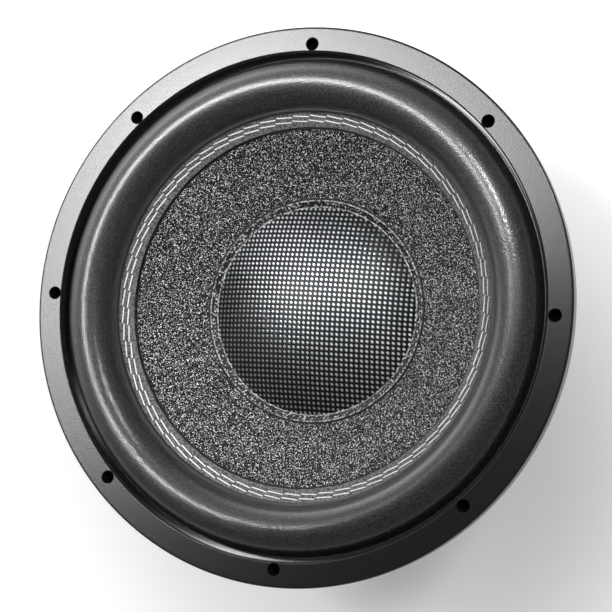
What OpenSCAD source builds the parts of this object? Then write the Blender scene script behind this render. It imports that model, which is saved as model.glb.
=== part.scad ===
// Car subwoofer driver, 300 mm class, with a stitched foam surround, a paper cone,
// a woven dust cap, a cast basket, a double ferrite motor and two push terminals.
// Z runs along the driver's axis and the cone faces +Z. The origin is the centre of
// the bolt circle, on the rear face of the flange that lies against the baffle.

/* [Rim] */
// Outside diameter of the trim ring
rim_d = 316; // [314:1:320]
// Inside diameter of the trim ring
trim_inner_d = 287; // [286:0.5:287]
// Thickness of the trim ring
trim_t = 7.5; // [6:0.5:9]
// Radius of the trim ring's front edges
trim_edge_r = 1.3; // [0.5:0.1:2]
// Diameter of the mounting bolt circle
bolt_circle_d = 296; // [295.5:0.5:297]
// Number of mounting holes
bolt_count = 8; // [4:4:8]
// Diameter of each mounting hole
bolt_hole_d = 7; // [5:0.5:7]

/* [Surround] */
// Diameter of the roll's crest
roll_mid_d = 252; // [250:0.5:253]
// Outside radius of the roll
roll_r = 14.5; // [13.5:0.5:15]
// Thickness of the surround
surround_t = 1.4; // [1:0.1:1.6]
// Diameter of the outer ring of stitches
stitch_d = 217.8; // [216:0.2:218]
// Depth of that ring behind the front of the flange
stitch_depth = 3.9; // [3:0.1:5]
// Inside diameter of the surround's sewn band
band_inner_d = 206.4; // [204:0.2:208]

/* [Cone] */
// Slope of the cone
cone_angle = 30.5; // [28:0.5:32]
// Thickness of the paper
cone_t = 1.6; // [1:0.1:2]
// Length of the neck that is glued to the former
neck_h = 8; // [6:0.5:10]
// Diameter of the dust cap
cap_d = 129; // [124:1:134]
// Width of the dust cap's glued rim
cap_rim_w = 3.7; // [3:0.1:5]
// Height of the dome above that rim
cap_h = 16; // [12:1:20]
// Thickness of the dust cap
cap_t = 0.8; // [0.6:0.1:1.2]

/* [Voice coil] */
// Inside diameter of the former
coil_d = 76; // [74:0.5:76.5]
// Wall of the former
former_t = 0.4; // [0.2:0.1:0.5]
// Thickness of each winding
layer_t = 0.75; // [0.5:0.05:0.8]
// Linear travel each way, by which the windings overhang the front plate
linear_travel = 13; // [9:1:14]

/* [Spider] */
// Thickness of the cloth
spider_t = 0.8; // [0.6:0.1:1]
// Number of corrugations
wave_count = 5; // [3:1:6]
// Height of a corrugation from its middle
wave_a = 1.8; // [1:0.1:2]
// Width of the woven-in leads
lead_w = 2.6; // [2:0.2:3]
// Thickness of the leads
lead_t = 0.9; // [0.6:0.1:1]

/* [Basket] */
// Thickness of the flange
flange_t = 3.5; // [3:0.5:5]
// Outside diameter behind the flange, for the baffle's cut-out
collar_d = 281; // [280:0.5:281]
// Depth of the ledge that holds the spider
ledge_depth = 58; // [56:1:60]
// Inside diameter of that ledge
ledge_d = 172; // [170:1:174]
// Inside diameter of the wall round the spider
spider_room_d = 195; // [194:0.5:196]
// Depth of the face that the motor is bolted to
seat_depth = 84; // [82:1:88]
// Number of windows
window_count = 16; // [8:4:16]
// Widest part of a window
window_w = 31; // [24:1:31]
// Length of a window along the slope
window_len = 36; // [28:1:38]
// Thickness of the ribs on the arms
rib_t = 4; // [3:0.5:6]

/* [Motor] */
// Diameter of the magnets
magnet_d = 156; // [150:1:156]
// Thickness of each of the two magnets
magnet_t = 20; // [16:1:22]
// Diameter of the steel plates
plate_d = 148; // [140:1:148]
// Thickness of the front plate
plate_t = 10; // [8:1:12]
// Thickness of the back plate
yoke_t = 12; // [10:1:14]
// Diameter of the vent through the pole
vent_d = 26; // [20:1:28]
// Wall of the rubber boot
boot_t = 4; // [3:0.5:5]

/* [Terminals] */
// Width of a terminal block
block_w = 35; // [33:0.5:35]
// Diameter of a push button
button_d = 9; // [8:0.2:9]
// Travel of a push button
button_travel = 3.5; // [2:0.5:4]
// Diameter of a wire entry
wire_hole_d = 4.4; // [3:0.2:5]

/* [Hidden] */
$fn = 160;
// Thickness of the glue between bonded pieces
glue = 0.1;
// Clearance of a running fit
slip = 0.1;
// Overlap that makes a cut pass its face
past = 1;

// Rim and flange
rim_r = rim_d / 2;
flange_r = rim_r - 0.5;
front_z = flange_t + trim_t;
lip_r = trim_inner_d / 2 + 0.5;
seat_z = flange_t - surround_t;

// Surround
roll_c = [roll_mid_d / 2, flange_t - 0.5];
outer_fillet = 1;
inner_fillet = 1.4;
slope = [cos(cone_angle), sin(cone_angle)];
slope_up = [-sin(cone_angle), cos(cone_angle)];
stitch_p = [stitch_d / 2, flange_t - stitch_depth];

// Depths along the cone's own normal, from the front of the sewn band
cone_front = surround_t + glue;
cone_back = cone_front + cone_t;
cap_front = cone_front - glue - cap_t;
cone_edge_r = stitch_d / 2 + 0.6;

// Voice coil
former_in = coil_d / 2;
former_out = former_in + former_t;
neck_in = former_out + glue;
neck_out = neck_in + cone_t;
winding_gap = 0.05;
inner_layer_out = former_out + winding_gap + layer_t;
outer_layer_out = inner_layer_out + winding_gap + layer_t;

// Motor
plate_z = -seat_depth - plate_t;
magnet_z = plate_z - magnet_t;
yoke_z = magnet_z - magnet_t;
rest_z = yoke_z - yoke_t;
boot_floor_t = 2;
boot_opening_r = 52;
pole_r = former_in - 0.8;
pole_top_z = 2 - seat_depth;
gap_r = outer_layer_out + 1;
winding_h = plate_t + 2 * linear_travel;
winding_z = plate_z - linear_travel;
former_z = winding_z - 1;
magnet_hole_r = gap_r + 5;
screen_seat_w = 3;
motor_screw_r = 62;
motor_screw_d = 5;
motor_screw_l = 11;

// Basket
wall_t = 4;
collar_out = collar_d / 2;
collar_in = collar_out - 5;
collar_h = 13;
collar_step = 0.8;
collar_fit = 0.2;
ledge_r = ledge_d / 2;
ledge_t = 3.5;
room_in = spider_room_d / 2;
room_out = room_in + wall_t;
room_top = 10;
seat_t = 4.5;
seat_in = 47;
seat_out = 82;
window_corner = 5;
window_taper = 9;
slope_top = [(collar_out + collar_in) / 2, 0.5 - collar_h];
slope_foot = [(room_out + room_in) / 2, room_top + 0.5 - ledge_depth];
foot_top = [room_out, -ledge_depth - ledge_t - 3];
foot_bottom = [seat_out, -seat_depth];
vent_top = foot_top - [3.5, -1.5];
vent_foot = foot_bottom - [3, -2];

// Spider
spider_z = spider_t / 2 - ledge_depth;
wave_out = ledge_r;
wave_in = 44;
wave_w = (wave_out - wave_in) / wave_count;
spider_r = room_in - 1;

// Terminals, laid out on the +Y side
pad_face = room_out + 3;
block_depth = 13;
block_face = pad_face + block_depth;
block_z = [-66, -45.5];
pole_x = 8.5;
button_z = -51.5;
wire_z = -61;
screw_zs = [-50.5, -61.5];
tab_z = -51;
tab_t = 0.8;
tab_w = 6;
tab_end = room_in - 4.5;
contact_t = 0.8;
contact_w = 9;
contact_h = 16;
terminal_screw_d = 3;
terminal_screw_l = 18;
pad_margin = 3.5;
pad_h = 17;
shoulder_y = block_face - 3;
button_back = shoulder_y - 2;
button_front = block_face + button_travel + 1.5;
collar_r = button_d / 2 + 0.5;
lead_turn = asin(pole_x / tab_end);
COILS = ["coil_a", "coil_b"];
POLES = ["red", "black"];

// Points of an arc about c, in n steps
function arc(c, r, from, to, n) =
    [for (i = [0:n]) c + r * [cos(from + (to - from) * i / n), sin(from + (to - from) * i / n)]];
function reversed(line) = [for (i = [len(line) - 1:-1:0]) line[i]];
function bearing(v) = (atan2(v.y, v.x) + 360) % 360;

// Unit vector that stands on a line at point i, to the left of the way it runs
function upright(line, i) =
    let (d = line[min(i + 1, len(line) - 1)] - line[max(i - 1, 0)])
    [d.y, -d.x] / norm(d);
function raised(line, t) = [for (i = [0:len(line) - 1]) line[i] + t * upright(line, i)];

// Height of the sewn band's front at radius r, or of a face that lies deep behind it
function cone_z(r, deep) =
    stitch_p.y + (r - stitch_p.x) * tan(cone_angle) - deep / cos(cone_angle);

// Middle of the spider's cloth
function cloth_z(r) =
    spider_z + (r > wave_in && r < wave_out ? wave_a * sin(360 * (wave_out - r) / wave_w) : 0);

// Section of the surround from its lip to its sewn band, deep behind its front
outer_fillet_c = [
    roll_c.x + sqrt(pow(roll_r + outer_fillet, 2) - pow(flange_t + outer_fillet - roll_c.y, 2)),
    flange_t + outer_fillet
];
inner_v = stitch_p + inner_fillet * slope_up - roll_c;
inner_u = -inner_v * slope
    - sqrt(pow(inner_v * slope, 2) - inner_v * inner_v + pow(roll_r + inner_fillet, 2));
inner_fillet_c = stitch_p + inner_u * slope + inner_fillet * slope_up;
roll_from = bearing(outer_fillet_c - roll_c);
roll_to = bearing(inner_fillet_c - roll_c);
function surround_line(deep) = concat(
    [[lip_r, flange_t - deep]],
    arc(outer_fillet_c, outer_fillet + deep, 270, 180 + roll_from, 5),
    arc(roll_c, roll_r - deep, roll_from, roll_to, 30),
    arc(inner_fillet_c, inner_fillet + deep, roll_to - 180, cone_angle - 90, 5),
    [[band_inner_d / 2, cone_z(band_inner_d / 2, deep)]]
);

module tube(r_in, r_out, from, to) {
    translate([0, 0, from])
        difference() {
            cylinder(r = r_out, h = to - from);
            translate([0, 0, -past])
                cylinder(r = r_in, h = to - from + 2 * past);
        }
}

module bolt_holes(from, to) {
    for (i = [0:bolt_count - 1])
        rotate([0, 0, 360 * i / bolt_count])
            translate([bolt_circle_d / 2, 0, from - past])
                cylinder(d = bolt_hole_d, h = to - from + 2 * past);
}

// Trapezium with round corners, its length along X and its wide end at -X
module rounded_trapezium(length, wide, narrow, r) {
    x = length / 2 - r;
    lean = atan((wide - narrow) / 4 / x);
    half = concat(
        arc([x, narrow / 2 - r], r, 0, 90 - lean, 5),
        arc([-x, wide / 2 - r], r, 90 - lean, 180, 5)
    );
    polygon(concat(half, [for (p = reversed(half)) [p.x, -p.y]]));
}

// Pieces laid out on +Y for the first coil, turned to -Y for the second
module on_side(side) {
    rotate([0, 0, 180 * side])
        children();
}

module trim_ring() {
    in = trim_inner_d / 2;
    e = trim_edge_r;
    color("#3a3b3d")
        difference() {
            rotate_extrude()
                polygon(concat(
                    [[in, flange_t], [rim_r, flange_t]],
                    arc([rim_r - e, front_z - e], e, 0, 90, 6),
                    arc([in + e, front_z - e], e, 90, 180, 6)
                ));
            bolt_holes(flange_t, front_z);
        }
}

// Rim of the basket, with a step in its front that the surround is glued into
// and a recess behind that the collar stands in
module flange() {
    recess_r = collar_out + collar_fit;
    color("#1d1e20")
        difference() {
            rotate_extrude()
                polygon([
                    [collar_in, collar_step], [recess_r, collar_step], [recess_r, 0],
                    [flange_r, 0], [flange_r, flange_t],
                    [lip_r + 0.2, flange_t], [lip_r + 0.2, seat_z], [collar_in, seat_z]
                ]);
            bolt_holes(0, flange_t);
        }
}

module basket_shell() {
    rotate_extrude()
        polygon([
            [collar_in, collar_step], [collar_in, 1 - collar_h],
            [room_in, room_top + 1 - ledge_depth], [room_in, -ledge_depth],
            [ledge_r, -ledge_depth], [ledge_r, -ledge_depth - ledge_t],
            [foot_top.x - 6.5, -ledge_depth - ledge_t],
            [foot_bottom.x - 5.5, seat_t - seat_depth],
            [seat_in, seat_t - seat_depth], [seat_in, -seat_depth],
            foot_bottom, foot_top,
            [room_out, room_top - ledge_depth],
            [collar_out, -collar_h], [collar_out, collar_step]
        ]);
}

module rib() {
    rotate([90, 0, 0])
        translate([0, 0, -rib_t / 2])
            linear_extrude(rib_t)
                polygon([
                    [collar_out - 2, -8], [collar_out - 0.2, -8],
                    [collar_out - 0.2, -collar_h - 4.5],
                    [room_out + 5.5, room_top - ledge_depth - 1],
                    [room_out + 0.5, foot_top.y + 1.5], [room_out - 2, foot_top.y + 1.5],
                    [room_out - 2, room_top - ledge_depth], [collar_out - 3, -collar_h - 1]
                ]);
}

// Cut through a sloping wall between two points of the section
module slope_cut(top, foot, depth) {
    fall = top - foot;
    middle = (top + foot) / 2;
    translate([middle.x, 0, middle.y])
        rotate([0, 180 - atan2(fall.y, fall.x), 0])
            linear_extrude(depth, center = true)
                children();
}

module terminal_pad() {
    translate([-block_w / 2 - pad_margin, room_in + 0.5, foot_top.y + 0.5])
        cube([block_w + 2 * pad_margin, pad_face - room_in - 0.5, pad_h]);
}

module terminal_pad_cuts() {
    for (s = [-1, 1])
        translate([s * pole_x - tab_w / 2 - 0.5, room_in - past, tab_z - 1])
            cube([tab_w + 1, pad_face - room_in + 2 * past, 2]);
    for (z = screw_zs)
        translate([0, room_in + past, z])
            rotate([-90, 0, 0])
                cylinder(d = terminal_screw_d + slip, h = pad_face - room_in, $fn = 32);
}

module motor_screw_places() {
    for (i = [0:7])
        rotate([0, 0, 22.5 + 45 * i])
            translate([motor_screw_r, 0, 0])
                children();
}

module basket() {
    pitch = 360 / window_count;
    color("#1d1e20")
        difference() {
            union() {
                basket_shell();
                for (i = [0:window_count - 1])
                    rotate([0, 0, pitch * (i + 0.5)])
                        rib();
                for (side = [0, 1])
                    on_side(side)
                        terminal_pad();
            }
            for (i = [0:window_count - 1])
                rotate([0, 0, pitch * i]) {
                    slope_cut(slope_top, slope_foot, 14)
                        rounded_trapezium(window_len, window_w, window_w - window_taper, window_corner);
                    slope_cut(vent_top, vent_foot, 12)
                        rounded_trapezium(13, 15, 12, 3);
                }
            for (side = [0, 1])
                on_side(side)
                    terminal_pad_cuts();
            motor_screw_places()
                translate([0, 0, -seat_depth - past])
                    cylinder(d = motor_screw_d + 0.5, h = seat_t + 2 * past, $fn = 32);
        }
}

module surround() {
    color("#26272a")
        rotate_extrude()
            polygon(concat(surround_line(0), reversed(surround_line(surround_t))));
}

module cone() {
    neck_z = cone_z(neck_in, cone_front) - neck_h;
    color("#17181a")
        rotate_extrude()
            polygon([
                [cone_edge_r, cone_z(cone_edge_r, cone_front)],
                [neck_in, cone_z(neck_in, cone_front)],
                [neck_in, neck_z], [neck_out, neck_z],
                [neck_out, cone_z(neck_out, cone_back)],
                [cone_edge_r, cone_z(cone_edge_r, cone_back)]
            ]);
}

module dust_cap() {
    cap_r = cap_d / 2;
    dome_r = cap_r - cap_rim_w;
    ball_r = (dome_r * dome_r + cap_h * cap_h) / (2 * cap_h);
    ball_c = [0, cone_z(dome_r, cap_front) + cap_h - ball_r];
    rim_back = cap_front + cap_t;
    color("#202226")
        rotate_extrude()
            polygon(concat(
                arc(ball_c, ball_r, 90, acos(dome_r / ball_r), 16),
                [[cap_r, cone_z(cap_r, cap_front)], [cap_r, cone_z(cap_r, rim_back)]],
                [[dome_r, cone_z(dome_r, rim_back)]],
                arc(ball_c, ball_r - cap_t, acos(dome_r / ball_r) + 0.5, 90, 16)
            ));
}

module coil_former() {
    color("#6b4a2a")
        tube(former_in, former_out, former_z, cone_z(neck_in, cone_front) + 1.4);
}

module inner_winding() {
    color("#b5662f")
        tube(former_out + winding_gap, inner_layer_out, winding_z, winding_z + winding_h);
}

module outer_winding() {
    color("#c2733a")
        tube(inner_layer_out + winding_gap, outer_layer_out, winding_z, winding_z + winding_h);
}

module spider() {
    in = former_out + glue;
    steps = wave_count * 10;
    line = concat(
        [[spider_r, spider_z]],
        [for (i = [0:steps]) let (r = wave_out - (wave_out - wave_in) * i / steps) [r, cloth_z(r)]],
        [[in, spider_z]]
    );
    lift = [0, spider_t / 2];
    color("#b08a4a")
        rotate_extrude()
            polygon(concat([for (p = line) p + lift], reversed([for (p = line) p - lift])));
}

module front_plate() {
    color("#8d9094")
        difference() {
            tube(gap_r, plate_d / 2, plate_z, -seat_depth);
            motor_screw_places()
                translate([0, 0, 2 - seat_depth - plate_t])
                    cylinder(d = motor_screw_d + slip, h = plate_t, $fn = 32);
        }
}

module front_magnet() {
    color("#303236")
        tube(magnet_hole_r, magnet_d / 2, magnet_z, plate_z);
}

module rear_magnet() {
    color("#303236")
        tube(magnet_hole_r, magnet_d / 2, yoke_z, magnet_z);
}

module pole_yoke() {
    vent_r = vent_d / 2;
    seat_r = vent_r + screen_seat_w;
    plate_r = plate_d / 2;
    color("#85888c")
        rotate_extrude()
            polygon([
                [seat_r, rest_z], [plate_r - 2, rest_z], [plate_r, rest_z + 2], [plate_r, yoke_z],
                [pole_r + 3, yoke_z], [pole_r, yoke_z + 3], [pole_r, pole_top_z],
                [vent_r + 3, pole_top_z], [vent_r, pole_top_z - 3],
                [vent_r, rest_z + 2.5], [seat_r, rest_z + 2.5]
            ]);
}

module vent_screen() {
    disc_r = vent_d / 2 + screen_seat_w - 0.3;
    pitch = 2.8;
    hole_r = 1.15;
    border = 3;
    color("#2a2b2d")
        translate([0, 0, rest_z + 1.7])
            difference() {
                cylinder(r = disc_r, h = 0.8);
                for (row = [-5:5], column = [-5:5]) {
                    at = pitch * [column + (row % 2 == 0 ? 0 : 0.5), row * sin(60)];
                    if (norm(at) < disc_r - border)
                        translate([at.x, at.y, -past])
                            cylinder(r = hole_r, h = 2 * past + 0.8, $fn = 6);
                }
            }
}

module magnet_boot() {
    in = magnet_d / 2 + 0.3;
    out = in + boot_t;
    floor_z = rest_z - boot_floor_t;
    top_z = -seat_depth - 2;
    edge = 5;
    groove = 1.2;
    grooves = [for (i = [0:3]) floor_z + 16 + 12 * i];
    color("#222325")
        rotate_extrude()
            polygon(concat(
                [[in, top_z], [in, rest_z], [boot_opening_r, rest_z], [boot_opening_r, floor_z]],
                arc([out - edge, floor_z + edge], edge, 270, 360, 6),
                [for (z = grooves, p = [[0, -2], [-groove, -1], [-groove, 1], [0, 2]]) [out, z] + p],
                [[out, top_z - 1.5], [out - 1.5, top_z]]
            ));
}

// Screw along Z with its head's underside at z = 0 and a hexagon socket
module socket_screw(d, length, head_d, head_h) {
    difference() {
        union() {
            cylinder(d = head_d, h = head_h, $fn = 48);
            translate([0, 0, -length])
                cylinder(d = d, h = length + head_h / 2, $fn = 32);
        }
        translate([0, 0, head_h * 0.4])
            cylinder(d = d * 0.9, h = head_h, $fn = 6);
    }
}

module motor_screws() {
    color("#6f7276")
        motor_screw_places()
            translate([0, 0, seat_t - seat_depth])
                socket_screw(motor_screw_d, motor_screw_l, 8.5, 3);
}

module terminal_screws() {
    color("#6f7276")
        for (side = [0, 1], z = screw_zs)
            on_side(side)
                translate([0, block_face, z])
                    rotate([-90, 0, 0])
                        socket_screw(terminal_screw_d, terminal_screw_l, 5.4, 2);
}

module terminal(side) {
    w = block_w / 2;
    color("#1a1a1c")
        on_side(side)
            difference() {
                translate([0, pad_face, 0])
                    rotate([-90, 0, 0])
                        linear_extrude(block_depth)
                            polygon([
                                [-w, -block_z[0] - 2], [2 - w, -block_z[0]],
                                [w - 2, -block_z[0]], [w, -block_z[0] - 2],
                                [w, 2 - block_z[1]], [w - 2, -block_z[1]],
                                [2 - w, -block_z[1]], [-w, 2 - block_z[1]]
                            ]);
                for (s = [-1, 1]) {
                    translate([s * pole_x, pad_face - past, button_z])
                        rotate([-90, 0, 0]) {
                            cylinder(r = collar_r + slip, h = shoulder_y - pad_face + past);
                            cylinder(r = button_d / 2 + slip, h = block_depth + 2 * past);
                        }
                    translate([s * pole_x, pad_face - past, wire_z])
                        rotate([-90, 0, 0])
                            cylinder(d = wire_hole_d, h = block_depth + 2 * past);
                    translate([s * pole_x - contact_w / 2 - 0.3, pad_face - past, block_z[0] + 1.5])
                        cube([contact_w + 0.6, contact_t + 0.2 + past, contact_h + 1]);
                }
                for (z = screw_zs)
                    translate([0, pad_face - past, z])
                        rotate([-90, 0, 0])
                            cylinder(d = terminal_screw_d + 0.3, h = block_depth + 2 * past, $fn = 32);
            }
}

module contacts(side) {
    color("#c9a24a")
        on_side(side)
            for (s = [-1, 1]) {
                translate([s * pole_x - contact_w / 2, pad_face + 0.1, block_z[0] + 2])
                    cube([contact_w, contact_t, contact_h]);
                translate([s * pole_x - tab_w / 2, tab_end, tab_z - tab_t / 2])
                    cube([tab_w, pad_face + 0.5 - tab_end, tab_t]);
            }
}

module push_button(side, pole) {
    color(pole == 0 ? "#b3202a" : "#111113")
        on_side(side)
            translate([(pole == 0 ? -1 : 1) * pole_x, button_back, button_z])
                rotate([-90, 0, 0])
                    rotate_extrude()
                        polygon([
                            [0, 0], [collar_r, 0], [collar_r, 1.9], [button_d / 2, 1.9],
                            [button_d / 2, button_front - button_back - 0.8],
                            [button_d / 2 - 0.8, button_front - button_back],
                            [0, button_front - button_back]
                        ]);
}

// Compression spring as a tube of six sides along a helix
module push_spring(side, pole) {
    wire_r = 0.35;
    coil_r = 3.4;
    turns = 5;
    rings = turns * 12;
    from = pad_face + 0.1 + contact_t + 0.1 + wire_r;
    to = button_back - 0.1 - wire_r;
    points = [
        for (i = [0:rings], k = [0:5])
            let (a = 360 * turns * i / rings, out = coil_r + wire_r * cos(60 * k))
            [out * cos(a), out * sin(a), from + (to - from) * i / rings + wire_r * sin(60 * k)]
    ];
    walls = [
        for (i = [0:rings - 1], k = [0:5], half = [0, 1])
            let (p = 6 * i + k, q = 6 * i + (k + 1) % 6)
            half == 0 ? [p, p + 6, q] : [q, p + 6, q + 6]
    ];
    caps = [
        for (k = [1:4], end = [0, 1])
            end == 0 ? [0, k, k + 1] : [6 * rings, 6 * rings + k + 1, 6 * rings + k]
    ];
    color("#b9bcc0")
        on_side(side)
            translate([(pole == 0 ? -1 : 1) * pole_x, 0, button_z])
                rotate([-90, 0, 0])
                    polyhedron(points, concat(walls, caps));
}

// Flat braid from a terminal's tab, down to the spider and along it to the former
module lead(side, pole) {
    on_cloth = spider_t / 2 + 0.25;
    flat_z = spider_z + on_cloth;
    steps = wave_count * 10;
    line = concat(
        [[tab_end + 3, tab_z + tab_t / 2 + 0.1], [tab_end - 0.5, tab_z + tab_t / 2 + 0.1]],
        [[tab_end - 1.9, tab_z - 0.8], [tab_end - 2.9, tab_z - 3.6], [tab_end - 4, flat_z + 0.5]],
        [for (i = [0:steps])
            let (r = wave_out - (wave_out - wave_in) * i / steps) [r, cloth_z(r) + on_cloth]],
        [[former_out + 2.6, flat_z], [former_out + 1, flat_z + 0.7]],
        [[former_out + 0.4, flat_z + 2.2], [former_out + 0.3, flat_z + 3.8]]
    );
    color("#b08d57")
        on_side(side)
            rotate([0, 0, 90 + (pole == 0 ? 1 : -1) * lead_turn])
                rotate([90, 0, 0])
                    linear_extrude(lead_w, center = true)
                        polygon(concat(line, reversed(raised(line, lead_t))));
}

trim_ring();
flange();
basket();
surround();
cone();
dust_cap();
coil_former();
inner_winding();
outer_winding();
spider();
front_plate();
front_magnet();
rear_magnet();
pole_yoke();
vent_screen();
magnet_boot();
motor_screws();
terminal_screws();
for (side = [0, 1]) {
    terminal(side);
    contacts(side);
    for (pole = [0, 1]) {
        name = str(COILS[side], "_", POLES[pole]);
        push_button(side, pole);
        push_spring(side, pole);
        lead(side, pole);
    }
}
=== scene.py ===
import math

import bpy
from mathutils import Matrix, Vector


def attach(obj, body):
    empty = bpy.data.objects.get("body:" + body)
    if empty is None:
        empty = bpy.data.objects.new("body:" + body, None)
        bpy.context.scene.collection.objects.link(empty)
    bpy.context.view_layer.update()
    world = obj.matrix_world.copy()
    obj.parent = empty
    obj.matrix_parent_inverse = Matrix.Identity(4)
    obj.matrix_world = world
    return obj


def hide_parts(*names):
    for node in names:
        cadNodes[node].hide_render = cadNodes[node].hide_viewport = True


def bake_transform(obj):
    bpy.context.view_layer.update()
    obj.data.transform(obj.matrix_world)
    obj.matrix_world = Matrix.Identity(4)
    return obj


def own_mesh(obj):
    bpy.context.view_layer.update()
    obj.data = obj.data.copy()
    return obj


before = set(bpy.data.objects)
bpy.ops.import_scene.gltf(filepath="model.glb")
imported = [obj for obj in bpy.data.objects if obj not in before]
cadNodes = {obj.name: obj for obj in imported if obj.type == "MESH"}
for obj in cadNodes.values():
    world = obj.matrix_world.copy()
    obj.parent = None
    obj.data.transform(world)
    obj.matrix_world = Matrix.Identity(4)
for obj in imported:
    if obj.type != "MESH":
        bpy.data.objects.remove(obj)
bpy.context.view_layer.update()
mm = 0.001
coils = ("coil_a", "coil_b")
poles = ("red", "black")

# the camera, fitted to the eight holes of the rim in a square picture
cameraView = {
    "pitch": -6.117, "yaw": -18.458, "roll": -4.421,
    "fromRim": (7.29, -1.36, 997.8),  # mm along the camera's own axes
    "rimFront": 11,
    "lens": 104.87, "sensor": 36, "farthest": 100,
}
cameraTurn = (
    Matrix.Rotation(math.radians(cameraView["pitch"]), 3, "X")
    @ Matrix.Rotation(math.radians(cameraView["yaw"]), 3, "Y")
    @ Matrix.Rotation(math.radians(cameraView["roll"]), 3, "Z")
).transposed()
rimMiddle = Vector((0, 0, cameraView["rimFront"]))
cameraPlace = cameraTurn @ Vector(cameraView["fromRim"]) + rimMiddle
bpy.ops.object.camera_add()
camera = bpy.context.object
camera.name = "frontCamera"
camera.matrix_world = Matrix.Translation(cameraPlace * mm) @ cameraTurn.to_4x4()
camera.data.lens = cameraView["lens"]
camera.data.sensor_width = cameraView["sensor"]
camera.data.clip_end = cameraView["farthest"]
bpy.context.scene.camera = camera
bpy.context.scene.view_settings.view_transform = "Standard"
print("camera set")


# colours are written as sRGB hex
def hexColor(text):
    parts = [int(text[i:i + 2], 16) / 255 for i in (1, 3, 5)]
    return tuple(c / 12.92 if c <= 0.04045 else ((c + 0.055) / 1.055) ** 2.4 for c in parts) + (1,)


# one node, with its inputs as links or values and the rest as its own settings
def addNode(tree, kind, inputs=None, **settings):
    node = tree.nodes.new("ShaderNode" + kind)
    for key, value in settings.items():
        setattr(node, key, value)
    for key, value in (inputs or {}).items():
        if isinstance(value, bpy.types.NodeSocket):
            tree.links.new(value, node.inputs[key])
        else:
            node.inputs[key].default_value = value
    return node


# a new material with its shader's plain values set
def newMaterial(name, **values):
    material = bpy.data.materials.new(name)
    material.use_nodes = True
    shader = material.node_tree.nodes["Principled BSDF"]
    for key, value in values.items():
        socket = shader.inputs[key.replace("_", " ")]
        socket.default_value = hexColor(value) if isinstance(value, str) else value
    return material, material.node_tree, shader


# links to the shader's own sockets
def plug(tree, shader, **sockets):
    for key, socket in sockets.items():
        tree.links.new(socket, shader.inputs[key.replace("_", " ")])


# a finish whose colour, gloss and relief follow one fine grain, each where the settings name it
def grainFinish(name, look, **values):
    material, tree, shader = newMaterial(name, **values)
    grain = addNode(tree, "TexNoise", {
        "Vector": addNode(tree, "TexCoord").outputs["Object"], "Scale": 1 / (look["grainMm"] * mm),
        "Detail": look["detail"], "Distortion": look.get("curl", 0.0),
    }).outputs["Fac"]
    if "tones" in look:
        spot = grain
        if "spots" in look:  # the part of the grain over which dark turns to light
            spot = addNode(tree, "MapRange", {
                "Value": grain, "From Min": look["spots"][0], "From Max": look["spots"][1],
            }).outputs[0]
        dark, light = look["tones"]
        tone = addNode(tree, "Mix", {0: spot, 6: hexColor(dark), 7: hexColor(light)}, data_type="RGBA")
        plug(tree, shader, Base_Color=tone.outputs[2])
    if "gloss" in look:
        gloss = addNode(tree, "MapRange", {
            "Value": grain, "To Min": look["gloss"][0], "To Max": look["gloss"][1],
        })
        plug(tree, shader, Roughness=gloss.outputs[0])
    if "reliefMm" in look:
        rise = addNode(tree, "Bump", {
            "Height": grain, "Distance": look["reliefMm"] * mm, "Strength": look["relief"],
        })
        plug(tree, shader, Normal=rise.outputs["Normal"])
        if look.get("coatRelief"):
            plug(tree, shader, Coat_Normal=rise.outputs["Normal"])
    return material


def clearSelection():
    if bpy.context.object and bpy.context.object.mode != "OBJECT":
        bpy.ops.object.mode_set(mode="OBJECT")
    bpy.ops.object.select_all(action="DESELECT")


def pick(*pieces):
    clearSelection()
    for piece in pieces:
        piece.select_set(True)
    bpy.context.view_layer.objects.active = pieces[-1]


# points of an arc in the section plane, angles in degrees
def arcPoints(center, radius, start, end, steps):
    angles = [math.radians(start + (end - start) * i / steps) for i in range(steps + 1)]
    return [(center[0] + radius * math.cos(a), center[1] + radius * math.sin(a)) for a in angles]


# a line of (r, z) points in mm, drawn by extruding one vertex; the new piece stays in edit mode
def drawLine(name, line, y=0):
    clearSelection()
    bpy.ops.mesh.primitive_plane_add(size=mm)
    piece = bpy.context.object
    piece.name = name
    bpy.ops.object.mode_set(mode="EDIT")
    bpy.ops.mesh.merge(type="CENTER")
    bpy.ops.transform.translate(value=(line[0][0] * mm, y * mm, line[0][1] * mm))
    for (r0, z0), (r1, z1) in zip(line, line[1:]):
        step = ((r1 - r0) * mm, 0, (z1 - z0) * mm)
        bpy.ops.mesh.extrude_region_move(TRANSFORM_OT_translate={"value": step})
    return piece


# a section outline, drawn and spun round Z
def spinOutline(name, outline, steps, closed=True, sharp=35):
    piece = drawLine(name, outline + outline[:1] if closed else outline)
    bpy.ops.mesh.select_all(action="SELECT")
    bpy.ops.mesh.spin(steps=steps, angle=2 * math.pi, center=(0, 0, 0), axis=(0, 0, 1))
    bpy.ops.mesh.select_all(action="SELECT")
    bpy.ops.mesh.remove_doubles(threshold=0.002 * mm)
    bpy.ops.mesh.normals_make_consistent(inside=False)
    bpy.ops.object.mode_set(mode="OBJECT")
    bpy.ops.object.shade_smooth_by_angle(angle=math.radians(sharp))
    return piece


# faces turned outwards, after doubles closer than weld mm are merged
def closeMesh(piece, weld=0):
    pick(piece)
    bpy.ops.object.mode_set(mode="EDIT")
    bpy.ops.mesh.select_all(action="SELECT")
    if weld:
        bpy.ops.mesh.remove_doubles(threshold=weld * mm)
    bpy.ops.mesh.normals_make_consistent(inside=False)
    bpy.ops.object.mode_set(mode="OBJECT")


def applyModifier(piece, kind, **settings):
    pick(piece)
    modifier = piece.modifiers.new(kind.lower(), kind)
    for key, value in settings.items():
        setattr(modifier, key, value)
    bpy.ops.object.modifier_apply(modifier=modifier.name)


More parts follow.
